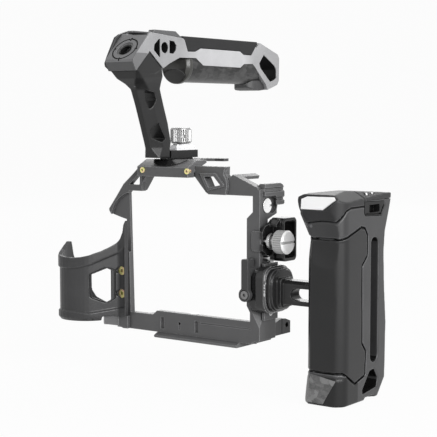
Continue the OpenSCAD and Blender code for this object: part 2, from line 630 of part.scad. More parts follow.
// slope that cuts off the left front corner; the first value runs along the diagonal
corner_cut = [[52.6, -30], [54, -9], [54, 54], [55.3, 69.4], [50.2, 83.2], [48.6, 91], [48.6, 100],
  [140, 100], [140, -30]];
cap_seam = [[-40, 78], [-31.3, 78.5], [-30.4, 80.2], [-25.6, 86.2], [-21.5, 87.6], [-5.8, 87.8], [-5.8, 91],
  [40, 91]];
module handle_solid() difference() {
  intersection() {
    union() {
      translate([0, 0, -30]) linear_extrude(20) handle_plan(0, 4.5);
      translate([0, 0, -10]) linear_extrude(80) handle_plan(0, 2);
      translate([0, 0, 70]) linear_extrude(40) handle_plan(0, 9);
    }
    along_y(-60, 120) polygon(handle_front);
    along_x(80, 60) polygon(handle_side);
    rotate([0, 0, 45]) along_y(-200, 400) polygon(corner_cut);
  }
  // right edge of the top, cut lower in front than behind
  translate([handle_x, -28, 90.6]) rotate([3.6, 30, 0]) translate([-40, -20, 0]) cube([80, 100, 20]);
  // facet of the white plate, which leaves the right front corner standing
  intersection() {
    along_x(80, 60) polygon([[-26.8, 96.4], [-32.3, 86.3], [-40, 86.3], [-40, 99], [-26.8, 99]]);
    along_y(-60, 60) polygon([[80, 80], [111.4, 80], [130.6, 99], [80, 99]]);
  }
  // dish above the fingers
  translate([117, -89.2, 67]) sphere(r = 60, $fn = 96);
}
rubber_region = [[-40, -5.9], [-27, -6.2], [-15.5, -13.7], [-3.9, -10.6], [-2.8, 3.5], [-7.3, 8.6],
  [-8.2, 53.6], [-2, 59.1], [-1.9, 71.2], [-4.9, 75.2], [-9.2, 76], [-28, 70.3], [-40, 69.6]];
module handle_bar_pocket() box([grip_x - 5, rotor_y - bar_d / 2 - gap, bar_z - bar_h / 2 - gap],
  [handle_x - 1.5, rotor_y + bar_d / 2 + gap, bar_top + gap]);
bolt_x = 111;
module bolt_way(r) translate([bolt_x, 0, bar_z]) {
  cyl_y(-28, 50, r);
}
module handle_shell() color(dark) difference() {
  handle_solid();
  along_x(80, 60) polygon(concat(cap_seam, [[40, 120], [-40, 120]]));
  difference() {
    along_x(80, 60) polygon(rubber_region);
    translate([0, 0, -30]) linear_extrude(140) handle_plan(rubber_t, 0);
  }
  // socket in the right side
  socket_seat();
  // seat of the ribbed rubber
  box([grip_x + 4, 15.5, -6], [handle_x - 4, 40, 68]);
  // long slot and the strap hole below it
  along_x(handle_x - 9, 20) slot_2d([6.5, 0], [6.5, 65], 4.2);
  along_x(90, 60) polygon([[2, -9], [7, -8.5], [11, -14], [10, -19.5], [-6, -21.5], [-6.5, -19]]);
  // lip of the bottom edge
  box([110, -3.9, -40], [140, 8, -24]);
  // seat of the foot insert
  foot_seat();
  handle_bar_pocket();
  bolt_way(2.5);
  translate([bolt_x, 0, bar_z]) cyl_y(8, 40, 4.6);
}
module foot_seat() along_y(-40, 9.8) polygon([[95, -7.6], [109, -7.8], [124, -10.2], [116, -24.3],
  [95, -23.6]]);
module foot_insert() color(mid) intersection() {
  handle_solid();
  foot_seat();
}
module handle_rubber() color(rubber) difference() {
  intersection() {
    handle_solid();
    along_x(80, 60) polygon(rubber_region);
  }
  translate([0, 0, -30]) linear_extrude(140) handle_plan(rubber_t, 0);
  handle_bar_pocket();
}
module handle_rear_rubber() color(rubber) difference() {
  intersection() {
    handle_solid();
    box([grip_x + 4, 15.5, -6], [handle_x - 4, 40, 68]);
  }
  for (i = [0 : rear_ribs - 1]) translate([0, 24, -4 + i * 75 / rear_ribs]) rotate([45, 0, 0])
    box([90, -4.2, -4.2], [140, -1, -1]);
  translate([bolt_x, 0, bar_z]) cyl_y(8, 40, 4.6);
}
module bar_bolt() color(steel) translate([bolt_x, 0, bar_z]) difference() {
  union() {
    cyl_y(8, 4.5, 4.4);
    cyl_y(-26, 34.5, 2.45);
  }
  cyl_y(10, 5, 2.3, $fn = 6);
}
module handle_cap() color(dark) difference() {
  intersection() {
    handle_solid();
    along_x(80, 60) polygon(concat(cap_seam, [[40, 120], [-40, 120]]));
  }
  plate_seat(0);
  cap_stud_way();
  socket_seat();
}
plate_foot = [-32.3, 86.3];
plate_tilt = atan2(96.4 - 86.3, 32.3 - 26.8);
module plate_seat(lift) translate([0, plate_foot.x, plate_foot.y]) rotate([plate_tilt, 0, 0])
  translate([0, 0, -0.7 + lift]) linear_extrude(3)
    polygon([[99.9, 6.6], [101.4, 0.5], [115.6, 0.5], [122.6, 6.8], [121.2, 8.6], [103.4, 8.4]]);
module cap_plate() color([0.92, 0.92, 0.92]) difference() {
  plate_seat(0);
  translate([0, 0, 0.75 / sin(plate_tilt)]) translate([0, plate_foot.x, plate_foot.y])
    rotate([plate_tilt, 0, 0]) box([80, -5, 0], [140, 20, 6]);
}
cap_stud_y = [1, 7.5];
cap_stud_x = 124.6;
module cap_stud_way() for (y = cap_stud_y) translate([cap_stud_x, y, 91.6]) cylinder(h = 9, r = 1.1);
socket_face = [[-4.6, 82.4], [-6, 84], [-6, 90.4], [16.5, 90], [17.5, 87], [15.4, 84.6], [13.5, 81.6]];
module socket_seat() along_x(handle_x - 5, 9) polygon(socket_face);
module cap_socket() color(mid) difference() {
  along_x(handle_x - 5, 5) polygon(socket_face);
  along_x(handle_x - 4, 9) round_rect([-0.8, 83.9], [11.2, 88.4], 1);
  // groove along the lower edge
  along_x(handle_x - 1, 3) polygon([[-5.4, 83.4], [-4.3, 82.9], [13, 82.2], [14.6, 85], [16.6, 87.4],
    [16, 88], [13.8, 85.6], [12.4, 83.2], [-4.4, 84]]);
}
module cap_studs() color(steel) for (y = cap_stud_y) translate([cap_stud_x, y, 91.6])
  cylinder(h = 3.6, r = 1.1);

// ---- top handle ----
hx0 = hand_x - head_half;
panel_upper = [[-12.5, 187], [-11.8, 186.4], [-8.7, 179.5], [-0.9, 179.7], [4.7, 182], [47.5, 181.8],
  [51.5, 179.7], [60.5, 179.7], [65.4, 185.4]];
panel_lower = [[62.2, 174.2], [52.1, 173.8], [48, 171.2], [7, 171.4], [0, 175.8], [-16.7, 175.5]];
head_profile = concat([[-58.6, 166.4], [-61.4, 171.4], [-61.4, 173.2], [-46, 189.2], [-43, 189.6],
  [-14, 187.6]], panel_upper, [[66.4, 185.2], [70.7, 188.4], [92, 181.6], [94, 179], [93.6, 163.6],
  [91.5, 160.7], [80, 157.2], [78, 160.8]], panel_lower, [[-27, 171.5], [-33, 168.5], [-45.8, 178.4]]);
ring_hole = [[75.2, 180.8], [88.3, 173.7], [90.4, 171.2], [90.5, 165.6], [88, 164], [82.9, 162.6],
  [71.2, 171.7], [69.8, 174.8]];
// frame of the inclined front face: x across, y up the slope, z outward
module on_slope() translate([hand_x - 0.6, -55.3, 179.6]) rotate([46, 0, 0]) children();
insert_l = 6;
insert_r = 5.6;
// shoe on the head: half widths of channel and mouth, floor, end, underside of the lips
shoe_half = 9.3;
shoe_mouth = 6.3;
shoe_floor = 188.2;
shoe_lip = 190.2;
shoe_y1 = -22;
// underside and top of the pad on the spine
pad_floor = 187.2;
pad_top = 189;
module head_frame() color(light) difference() {
  along_x(hx0, 2 * head_half) difference() {
    polygon(head_profile);
    polygon(ring_hole);
  }
  // half hexagons and round hole through the head
  along_x(hx0 - 1, 2 * head_half + 2) {
    polygon([[-41.9, 179], [-41.5, 182.5], [-37.2, 186], [-35.9, 186], [-35.9, 174.9], [-37.2, 175.4]]);
    translate([-31.5, 181]) circle(3.4);
    polygon([[-26.9, 177.8], [-26.9, 185.7], [-22.2, 185.2], [-19.9, 182.8], [-20.4, 179.8], [-23, 177.6]]);
  }
  on_slope() {
    translate([0, 0, -insert_l]) cylinder(h = 12, r = insert_r);
    translate([0, 0, -0.8]) linear_extrude(4) difference() {
      circle(8.7);
      circle(8.1);
    }
    for (a = [90, 180]) rotate(a) translate([8.4, 0, -2.5]) cylinder(h = 5, r = 1.3);
    for (a = [0, 270]) rotate(a) box([7.2, -0.5, -1.4], [9.6, 0.5, 3]);
  }
  // floor of the shoe
  box([hand_x - shoe_half, -60, shoe_floor], [hand_x + shoe_half, shoe_y1, 195]);
  box([hx0 - 1, -12.4, pad_floor], [hand_x + head_half + 1, 66.3, 195]);
}
module head_insert() color(steel) on_slope() difference() {
  translate([0, 0, -insert_l]) cylinder(h = insert_l - 0.4, r = insert_r);
  translate([0, 0, -insert_l - 1]) cylinder(h = insert_l + 3, r = three_eighths_r);
  translate([0, 0, -1.2]) cylinder(h = 2, r1 = three_eighths_r, r2 = three_eighths_r + 1.2);
}
module head_block() color(mid) difference() {
  along_x(hx0, 2 * head_half) polygon([[-43, 189.6], [-41.2, 191.5], [-20.6, 191.5], [-14, 187.6]]);
  // channel of the shoe and its mouth
  box([hand_x - shoe_half, -60, 180], [hand_x + shoe_half, shoe_y1, shoe_lip]);
  box([hand_x - shoe_mouth, -60, 180], [hand_x + shoe_mouth, shoe_y1 - 1.5, 195]);
}
module head_cheek() color(mid) along_x(hx0 - 2.1, 2.1) polygon([[-60.5, 171.2], [-59.9, 169],
  [-55.4, 166.2], [-40, 176], [-22, 183], [-20, 189.4], [-40.8, 191.2], [-47.8, 189.1], [-51.4, 187.2],
  [-52.9, 184.7], [-58.4, 175.4]]);
function ring_of(fy, fz, ry, rz, w, flat, c) = let(f = [fy, fz], r = [ry, rz], u = (r - f) / norm(r - f),
  a = f + u * c, b = r - u * 1.2) [
  [hand_x - flat, f.x, f.y], [hand_x + flat, f.x, f.y], [hand_x + w, a.x, a.y], [hand_x + w, b.x, b.y],
  [hand_x + w - 1.2, r.x, r.y], [hand_x - w + 1.2, r.x, r.y], [hand_x - w, b.x, b.y],
  [hand_x - w, a.x, a.y]];
foot_z = 113.2;
arm_rings = [
  ring_of(-31.3, foot_z, -19.3, foot_z, arm_half, arm_half - 0.4, 0.4),
  ring_of(-35.3, 119.6, -19.3, 119.6, arm_half, 2.4, 8),
  ring_of(-36.4, 123, -18.2, 123, arm_half, 2.4, 8),
  ring_of(-40.8, 135.2, -21.3, 135, arm_half, 2.4, 8),
  ring_of(-44.8, 146, -25.4, 146, arm_half, 2.4, 8),
  ring_of(-48.8, 155.4, -28.9, 156, arm_half, 2.4, 8),
  ring_of(-51.8, 158.4, -29, 159.6, 7.2, 4, 7),
  ring_of(-55.4, 161.6, -30, 163.6, 9.4, 7.6, 5),
  ring_of(-58.3, 166, -32.6, 168.2, head_half - 0.1, 9.6, 2.4)];
// channel that runs on the top rail, from y0 to the rear
module rail_channel(y0) {
  box([hand_x - rail_neck - gap, y0, 110], [hand_x + rail_neck + gap, 20, top_z + rail_neck_h]);
  box([hand_x - rail_head - gap, y0, top_z + rail_neck_h - gap],
    [hand_x + rail_head + gap, 20, top_z + rail_h + gap]);
}
module handle_arm() color(dark) difference() {
  union() {
    loft(arm_rings);
    along_x(hx0 + 0.15, 2 * head_half - 0.3) polygon([[-58.6, 166.4], [-45.8, 178.4], [-33, 168.5],
      [-40, 165]]);
  }
  along_x(hx0, 2 * head_half) {
    polygon([[-43.2, 154.8], [-35.6, 153.4], [-33.8, 149.4], [-36, 146.4], [-38.6, 144], [-41, 148]]);
    polygon([[-31.8, 135.2], [-36, 130.4], [-35.2, 126.4], [-28.2, 123.6], [-25, 125.4]]);
  }
  // channel of the rail, closed in front
  rail_channel(rail_y0 - 2);
}
base_y1 = 7.6;
base_top = 117.9;
lock_y = -1.9;
module handle_base() color(dark) difference() {
  box([hand_x - arm_half, -19.3, foot_z], [hand_x + arm_half, base_y1, base_top]);
  rail_channel(-30);
  translate([hand_x, lock_y, 110]) cylinder(h = 20, r = 2.5 + run);
}
module lock_plate() color(light) difference() {
  union() {
    box([hand_x - arm_half + 0.4, -13.5, base_top],
      [hand_x + arm_half - 0.4, base_y1 - 0.6, base_top + 1.1]);
    box([hand_x - 5, -12.6, base_top + 1], [hand_x + 5, 6, base_top + 3.1]);
    translate([hand_x, lock_y, base_top + 3]) cylinder(h = 0.8, r = 5.2);
  }
  translate([hand_x, lock_y, 110]) cylinder(h = 20, r = 2.5 + run);
}
module base_screws() color(steel) for (x = [-3.6, 3.6]) translate([hand_x + x, -10.2, base_top + 3.1])
  cylinder(h = 0.5, r = 1.1);
module lock_stem() color(steel) translate([hand_x, lock_y, top_z + rail_h + gap]) cylinder(h = 8, r = 2.5);
knob_z = base_top + 3.8 + gap;
module lock_knob() color(steel) translate([hand_x, lock_y, knob_z]) difference() {
  union() {
    cylinder(h = 1, r1 = knob_r - 1, r2 = knob_r);
    translate([0, 0, 1]) cylinder(h = knob_h - 2, r = knob_r);
    translate([0, 0, knob_h - 1]) cylinder(h = 1, r1 = knob_r, r2 = knob_r - 0.8);
  }
  for (i = [0 : 27]) rotate(i * 360 / 28) translate([knob_r, 0, 1.2]) rotate(45)
    translate([-0.4, -0.4, 0]) cube([0.8, 0.8, knob_h - 2.4]);
  translate([0, 0, -1]) cylinder(h = 4, r = 2.5);
  rotate(-40) translate([knob_r - 1.4, 0, knob_h / 2 - 0.5]) rotate([0, 90, 0]) cylinder(h = 5, r = 1.2);
}

sleeve_z = 171.8;
// everything under the lower edge of the panel
under_panel = concat(panel_lower, [[-16.7, 150], [78, 150], [78, 160.8]]);
sleeve_end_y = 78;
module grip_sleeve() color(mid) intersection() {
  translate([hand_x, 0, sleeve_z]) cyl_y(-4, sleeve_end_y + 4, sleeve_r);
  along_x(-30, 60) polygon(under_panel);
}
module sleeve_end() color(rubber) difference() {
  intersection() {
    translate([hand_x, 0, sleeve_z - 0.6]) {
      cyl_y(-7, 3, sleeve_r + 0.6);
      translate([0, -7, 0]) rotate([90, 0, 0]) cylinder(h = 2, r1 = sleeve_r + 0.6, r2 = sleeve_r - 1.4);
    }
    along_x(-30, 60) polygon([[-20, 175.4], [-4, 175.5], [-4, 150], [-20, 150]]);
  }
  // glossy dish in the lower half
  translate([hand_x - 1, -7.8, 163.6]) scale([9.6, 1, 5.2]) rotate([90, 0, 0]) cylinder(h = 3, r = 1);
}
stop_half = 8.4;
module finger_stop() color(mid) difference() {
  intersection() {
    along_x(hand_x - stop_half, 2 * stop_half) polygon([[62, 163.4], [62.6, 160.6], [64.2, 158.4],
      [68, 156.9], [74, 156.5], [80, 157.2], [78, 160.8], [74.8, 163.5]]);
    translate([hand_x, 62 + stop_half, 150]) linear_extrude(20) slot_2d([0, 0], [0, 20], stop_half);
  }
  translate([hand_x, 0, sleeve_z]) cyl_y(50, 40, sleeve_r);
}
module top_pad() color(rubber) difference() {
  along_x(hx0, 2 * head_half) polygon(concat([for (p = panel_upper) p + [0, 0.02]],
    [[68.2, pad_floor], [67.6, pad_top], [-13, pad_top]]));
  along_x(hx0 - 1, 2 * head_half + 2) polygon([[66.4, 185.2], [70.7, 188.4], [75, 188.4], [75, 180]]);
}

cage_frame();
dovetail_plate();
plate_screws();
camera_screw();
side_grip();
grip_screws();
visor_screws();
visor_inlay();
top_rail();
rail_screws();
lug_screw();
side_rail();
side_rail_screws();
cable_block();
cable_shroud();
cable_knob();
cable_stem();
cable_washer();
cable_pin();
clamp_body();
clamp_lever();
lever_pin();
rotor_ring();
rotor_arm();
rotor_shaft();
rotor_screw();
handle_shell();
handle_rubber();
handle_rear_rubber();
handle_cap();
cap_plate();
cap_socket();
cap_studs();
foot_insert();
bar_bolt();
head_frame();
head_insert();
head_block();
head_cheek();
handle_arm();
top_pad();
grip_sleeve();
sleeve_end();
finger_stop();
handle_base();
lock_plate();
base_screws();
lock_stem();
lock_knob();
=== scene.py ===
"""Dresses the camera cage: finishes, soft parts, threads, light and camera. Lengths are metres where no other unit
is named."""
import json
import math

import bpy
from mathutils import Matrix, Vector
from mathutils.bvhtree import BVHTree
from mathutils.kdtree import KDTree


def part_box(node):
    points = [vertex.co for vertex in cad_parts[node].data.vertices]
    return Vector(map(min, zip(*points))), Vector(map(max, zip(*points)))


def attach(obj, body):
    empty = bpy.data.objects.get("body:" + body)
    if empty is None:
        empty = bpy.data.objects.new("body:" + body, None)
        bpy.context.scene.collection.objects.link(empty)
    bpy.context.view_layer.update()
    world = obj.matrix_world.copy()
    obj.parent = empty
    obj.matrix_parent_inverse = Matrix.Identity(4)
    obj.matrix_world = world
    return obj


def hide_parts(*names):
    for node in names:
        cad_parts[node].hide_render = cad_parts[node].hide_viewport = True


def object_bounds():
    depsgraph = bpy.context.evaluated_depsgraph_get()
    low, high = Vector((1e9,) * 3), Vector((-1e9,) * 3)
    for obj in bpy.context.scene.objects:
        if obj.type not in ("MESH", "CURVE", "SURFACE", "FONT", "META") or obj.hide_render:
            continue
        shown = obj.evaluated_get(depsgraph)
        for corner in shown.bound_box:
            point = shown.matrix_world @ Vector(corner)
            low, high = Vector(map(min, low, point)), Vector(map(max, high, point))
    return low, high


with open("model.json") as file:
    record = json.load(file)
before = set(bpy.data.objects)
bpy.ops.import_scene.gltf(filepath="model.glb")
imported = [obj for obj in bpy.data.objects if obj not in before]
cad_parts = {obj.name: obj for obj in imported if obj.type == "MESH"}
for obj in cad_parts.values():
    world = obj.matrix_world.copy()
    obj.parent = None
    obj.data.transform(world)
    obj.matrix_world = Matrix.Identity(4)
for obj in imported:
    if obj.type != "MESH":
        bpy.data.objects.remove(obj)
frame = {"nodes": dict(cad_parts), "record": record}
cad_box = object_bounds()
nodes = frame["nodes"]
record = frame["record"]

mm = 0.001
X, Y, Z = 0, 1, 2


def mount(name):
    """A mount's row in the record."""
    return next(row for row in record["mounts"] if row["name"] == name)


def place(name, data):
    """A new object in the scene."""
    piece = bpy.data.objects.new(name, data)
    bpy.context.scene.collection.objects.link(piece)
    return piece


def shade_smooth(mesh):
    for face in mesh.polygons:
        face.use_smooth = True


def weld(piece):
    """Joins the corners of facets that meet, so that shading and remeshing run on across them."""
    piece.modifiers.new("weld", "WELD").merge_threshold = 0.002 * mm


# ---- finishes ----

# the colour sockets of the Mix node, and the samples of each edge and crevice test
mix_a, mix_b, mix_result = 6, 7, 2
edge_samples = 4
# no base colour is paler than this
palest = 0.95


def rgba(colour):
    return (colour, colour, colour, 1) if isinstance(colour, (int, float)) else (*colour, 1)


def scaled(colour, share):
    return [min(c * share, palest) for c in colour]


class Look:
    """A node material: one principled shader whose colour, roughness and normal vary over the surface. Its edges
    look rounded by round_edge millimetres."""

    def __init__(self, name, rough, metal=0.0, gloss=0.5, round_edge=0.3, **sockets):
        self.material = bpy.data.materials.new(name)
        self.material.use_nodes = True
        self.tree = self.material.node_tree
        self.tree.nodes.clear()
        self.shader = self.node("BsdfPrincipled")
        self.shader.inputs["Roughness"].default_value = rough
        self.shader.inputs["Metallic"].default_value = metal
        self.shader.inputs["Specular IOR Level"].default_value = gloss
        for socket, value in sockets.items():
            self.shader.inputs[socket.replace("_", " ")].default_value = value
        self.join(self.shader.outputs["BSDF"], self.node("OutputMaterial").inputs["Surface"])
        self.place = self.node("TexCoord").outputs["Object"]
        rounded = self.node("Bevel", samples=edge_samples, Radius=round_edge * mm)
        self.normal = rounded.outputs["Normal"]
        self.join(self.normal, self.shader.inputs["Normal"])

    def node(self, kind, **settings):
        """A new shader node. Each setting is the value of an input or, where none has its name, a property."""
        made = self.tree.nodes.new("ShaderNode" + kind)
        for key, value in settings.items():
            if key in made.inputs:
                made.inputs[key].default_value = value
            else:
                setattr(made, key, value)
        return made

    def join(self, source, target):
        self.tree.links.new(source, target)

    def feed(self, value, socket):
        """Sets a socket to a value, or links it to another socket."""
        if isinstance(value, bpy.types.NodeSocket):
            self.join(value, socket)
        else:
            socket.default_value = value

    def calc(self, operation, *values):
        made = self.node("Math", operation=operation)
        for value, socket in zip(values, made.inputs):
            self.feed(value, socket)
        return made.outputs[0]

    def noise(self, size, detail=2.0, stretch=(1, 1, 1), turn=(0, 0, 0)):
        """Noise whose features are about size metres, drawn out along an axis by stretch."""
        made = self.node("TexNoise", Detail=detail, Scale=1.0)
        self.join(self.mapped(size, stretch, turn), made.inputs["Vector"])
        return made.outputs["Fac"]

    def cells(self, size, stretch, turn):
        """A random tone for each flat patch of about size metres."""
        made = self.node("TexVoronoi", distance="CHEBYCHEV", Scale=1.0)
        self.join(self.mapped(size, stretch, turn), made.inputs["Vector"])
        tone = self.node("SeparateColor")
        self.join(made.outputs["Color"], tone.inputs[0])
        return tone.outputs[0]

    def mapped(self, size, stretch, turn):
        """Places on the piece in units of size, turned by degrees round the three axes."""
        mapping = self.node("Mapping")
        mapping.inputs["Scale"].default_value = [1 / (size * s) for s in stretch]
        mapping.inputs["Rotation"].default_value = [math.radians(t) for t in turn]
        self.join(self.place, mapping.inputs["Vector"])
        return mapping.outputs["Vector"]

    def ramp(self, factor, *stops):
        """A colour ramp: stops are (position, grey or colour)."""
        made = self.node("ValToRGB")
        elements = made.color_ramp.elements
        while len(elements) < len(stops):
            elements.new(0.5)
        for element, (position, colour) in zip(elements, stops):
            element.position = position
            element.color = rgba(colour)
        self.join(factor, made.inputs["Fac"])
        return made.outputs["Color"]

    def mix(self, factor, a, b):
        """Mixes two colours, each a socket or a value."""
        made = self.node("Mix", data_type="RGBA")
        self.feed(factor, made.inputs[0])
        for value, index in ((a, mix_a), (b, mix_b)):
            self.feed(value if isinstance(value, bpy.types.NodeSocket) else rgba(value), made.inputs[index])
        return made.outputs[mix_result]

    def multiply(self, a, b):
        made = self.node("Mix", data_type="RGBA", blend_type="MULTIPLY")
        made.inputs[0].default_value = 1.0
        self.join(a, made.inputs[mix_a])
        self.join(b, made.inputs[mix_b])
        return made.outputs[mix_result]

    def edges(self, radius):
        """A mask that is 1 on edges narrower than radius and 0 on flats."""
        shape = self.node("NewGeometry")
        soft = self.node("Bevel", samples=edge_samples, Radius=radius)
        dot = self.node("VectorMath", operation="DOT_PRODUCT")
        self.join(soft.outputs["Normal"], dot.inputs[0])
        self.join(shape.outputs["Normal"], dot.inputs[1])
        return self.ramp(dot.outputs["Value"], (0.86, 1.0), (0.985, 0.0))

    def ridges(self):
        """A mask that is 1 on the ridges of a dense skin and 0 on its flats."""
        return self.ramp(self.node("NewGeometry").outputs["Pointiness"], (0.52, 0.0), (0.57, 1.0))

    def seams(self):
        """Greys of painted shade that darken the grooves and creases of a dense skin."""
        return self.ramp(self.node("NewGeometry").outputs["Pointiness"], (0.43, 0.25), (0.485, 1.0))

    def within(self, *boxes):
        """A mask that is 1 inside any of the boxes, each (low corner, high corner) of the piece at rest."""
        split = self.node("SeparateXYZ")
        self.join(self.place, split.inputs[0])
        inside = None
        for low, high in boxes:
            hits = [self.calc("COMPARE", split.outputs[i], (low[i] + high[i]) / 2, (high[i] - low[i]) / 2)
                    for i in (X, Y, Z)]
            hit = self.calc("MULTIPLY", self.calc("MULTIPLY", hits[0], hits[1]), hits[2])
            inside = hit if inside is None else self.calc("MAXIMUM", inside, hit)
        return inside

    def around(self, centre, axis, low, high):
        """A mask that is 1 where the distance to an axis is between two radii in millimetres."""
        offset = self.node("VectorMath", operation="SUBTRACT")
        cross = self.node("VectorMath", operation="CROSS_PRODUCT")
        length = self.node("VectorMath", operation="LENGTH")
        self.join(self.place, offset.inputs[0])
        offset.inputs[1].default_value = centre
        self.join(offset.outputs[0], cross.inputs[0])
        cross.inputs[1].default_value = axis
        self.join(cross.outputs[0], length.inputs[0])
        return self.calc("COMPARE", length.outputs["Value"], (low + high) / 2 * mm, (high - low) / 2 * mm)

    def along(self, axis, *stops):
        """Greys that change along an axis: stops are (place in millimetres, grey)."""
        split = self.node("SeparateXYZ")
        self.join(self.place, split.inputs[0])
        first, last = stops[0][0], stops[-1][0]
        spread = self.node("MapRange")
        spread.inputs["From Min"].default_value = first * mm
        spread.inputs["From Max"].default_value = last * mm
        self.join(split.outputs[axis], spread.inputs["Value"])
        return self.ramp(spread.outputs["Result"], *[((at - first) / (last - first), grey) for at, grey in stops])

    def toned(self, body, areas):
        """A colour with painted shade, toned down in some areas, each (share of its brightness, boxes)."""
        for share, boxes in areas:
            body = self.multiply(body, self.mix(self.within(*boxes), 1.0, share))
        return body

    def colour(self, socket):
        """The base colour, darkened by painted shade in seams and corners."""
        crevice = 2.5 * mm
        # painted shade: ambient occlusion darkens the colour in crevices
        shade = self.node("AmbientOcclusion", samples=edge_samples, Distance=crevice)
        self.join(self.multiply(socket, self.ramp(shade.outputs["AO"], (0.3, 0.3), (0.8, 1.0))),
                  self.shader.inputs["Base Color"])

    def roughness(self, factor, low, high):
        spread = self.node("MapRange")
        spread.inputs["To Min"].default_value = low
        spread.inputs["To Max"].default_value = high
        self.join(factor, spread.inputs["Value"])
        self.join(spread.outputs["Result"], self.shader.inputs["Roughness"])

    def bump(self, height, depth):
        made = self.node("Bump")
        made.inputs["Distance"].default_value = depth
        self.join(height, made.inputs["Height"])
        self.join(self.normal, made.inputs["Normal"])
        self.normal = made.outputs["Normal"]
        self.join(self.normal, self.shader.inputs["Normal"])


def grained(look, base, grain, clouds, light=1.35, spread=0.08):
    """The base colour with slow clouds and lighter grains in it."""
    body = look.mix(look.ramp(clouds, (0.3, 0.0), (0.7, 1.0)), scaled(base, 1 - spread), scaled(base, 1 + spread))
    return look.mix(look.ramp(grain, (0.35, 0.0), (0.75, 0.5)), body, scaled(base, light))


def anodised(name, tone, rough=0.42, gloss=0.3, edge=1.9, edge_width=0.55, areas=(), shade=(), skin=False,
             groove=None):
    """Bead-blasted and anodised aluminium: fine grain, slight clouds, and edges edge times as pale and edge_width
    millimetres wide, partly wear and partly painted highlight. Skin is for the pieces with a dense skin, whose grooves
    get painted shade. The areas are as for toned, painted shade; shade is as for along, a painted fall-off of the
    light; and groove is a ring of painted shade, nearly black: (boxes, ring as for around)."""
    look = Look(name, rough, gloss=gloss)
    grain = look.noise(0.25 * mm, 3)
    clouds = look.noise(14 * mm, 3)
    base = [tone, tone, tone * 1.02]
    body = grained(look, base, grain, clouds)
    # edges painted paler: partly wear and partly painted highlight
    body = look.mix(look.ridges() if skin else look.edges(edge_width * mm), body, scaled(base, edge))
    if skin:
        # painted shade in the grooves of the skin
        body = look.multiply(body, look.seams())
    # painted fall-off of the light along the part
    if shade:
        body = look.multiply(body, look.along(*shade))
    # painted shade in the given areas
    body = look.toned(body, areas)
    if groove:
        boxes, ring = groove
        # the ring groove painted nearly black as shade
        black = 0.01
        body = look.mix(look.calc("MULTIPLY", look.within(*boxes), look.around(*ring)), body, black)
    look.colour(body)
    look.roughness(grain, rough - 0.06, rough + 0.08)
    look.bump(grain, 0.005 * mm)
    return look.material


def turned(name, tone, rough, axis, face=None, metal=1.0, bore=None):
    """Turned steel with fine rings round the given axis, its edges paler as painted highlight. The box face is its
    end,
    near white: polish where the metal is high and a painted reflection where it is low. The bore gets painted shade.
    """
    look = Look(name, rough, metal=metal, round_edge=0.15)
    polish_and_glare, shadow = 0.97, 0.12
    stretch = [1, 1, 1]
    stretch[axis] = 0.15
    lines = look.noise(1.2 * mm, 4, stretch)
    base = [tone, tone, tone]
    body = look.mix(look.ramp(lines, (0.3, 0.0), (0.7, 1.0)), scaled(base, 0.84), base)
    # edges painted paler as highlight
    body = look.mix(look.edges(0.25 * mm), body, scaled(base, 1.3))
    if face:
        # the end face near white: polish on metal, a painted reflection where the metal is low
        body = look.mix(look.within(face), body, polish_and_glare)
    if bore:
        # painted shade in the bore
        body = look.multiply(body, look.mix(look.around(*bore), 1.0, shadow))
    look.colour(body)
    look.roughness(lines, rough - 0.05, rough + 0.08)
    look.bump(lines, 0.004 * mm)
    return look.material


def plated(name, rough):
    """Yellow zinc plate, which turns from green to rose with its thickness."""
    green, yellow, rose, wear_and_highlight = (0.62, 0.66, 0.16), (0.80, 0.76, 0.30), (0.86, 0.50, 0.42), (0.9, 0.86, 0.55)
    look = Look(name, rough, metal=0.75, round_edge=0.15)
    hue = look.noise(1.6 * mm, 2, turn=(0, 0, 35))
    body = look.ramp(hue, (0.32, green), (0.5, yellow), (0.68, rose))
    # paler edges: partly wear and partly painted highlight
    look.colour(look.mix(look.edges(0.25 * mm), body, wear_and_highlight))
    look.roughness(hue, rough - 0.04, rough + 0.1)
    look.bump(look.noise(0.4 * mm), 0.004 * mm)
    return look.material


def moulded(name, tone, rough, gloss, size=0.35, depth=0.01, tint=(1, 1, 1.03), edge=1.5, coat=0.0, areas=()):
    """Moulded rubber, silicone or plastic with an even fine grain, its edges paler as painted highlight and its
    grooves darker as painted shade. The size and depth of the grain are millimetres, and the areas are as for toned,
    painted shade."""
    look = Look(name, rough, gloss=gloss, round_edge=0.4, Coat_Weight=coat, Coat_Roughness=0.15)
    grain = look.noise(size * mm, 3)
    clouds = look.noise(20 * mm, 2)
    base = [tone * t for t in tint]
    body = grained(look, base, grain, clouds, light=1.45, spread=0.12)
    # edges painted paler as highlight, grooves darker as painted shade
    body = look.multiply(look.mix(look.ridges(), body, scaled(base, edge)), look.seams())
    look.colour(look.toned(body, areas))
    look.roughness(grain, rough - 0.05, rough + 0.1)
    look.bump(grain, depth * mm)
    return look.material


def forged(name, dark, pale, size=5.0):
    """Forged carbon: flat flakes of fibre, size millimetres wide, that lie in all directions under a clear coat."""
    look = Look(name, 0.36, gloss=0.25, round_edge=0.4, Coat_Weight=0.1, Coat_Roughness=0.2)
    flakes = look.cells(size * mm, (1, 1.3, 0.8), (20, 0, 12))
    chips = look.cells(size * 0.55 * mm, (1, 1.8, 0.7), (-25, 10, 0))
    fibre = look.noise(0.3 * mm, 2, (4, 1, 1), (0, 0, 40))
    both = look.calc("ADD", look.calc("MULTIPLY", flakes, 0.65), look.calc("MULTIPLY", chips, 0.35))
    body = look.ramp(both, (0.2, dark), (0.45, (dark * 2 + pale) / 3), (0.6, (dark + pale * 2) / 3), (0.8, pale))
    body = look.mix(look.ramp(fibre, (0.45, 0.0), (0.7, 0.35)), body, pale)
    look.colour(body)
    look.roughness(both, 0.30, 0.46)
    look.bump(both, 0.015 * mm)
    return look.material


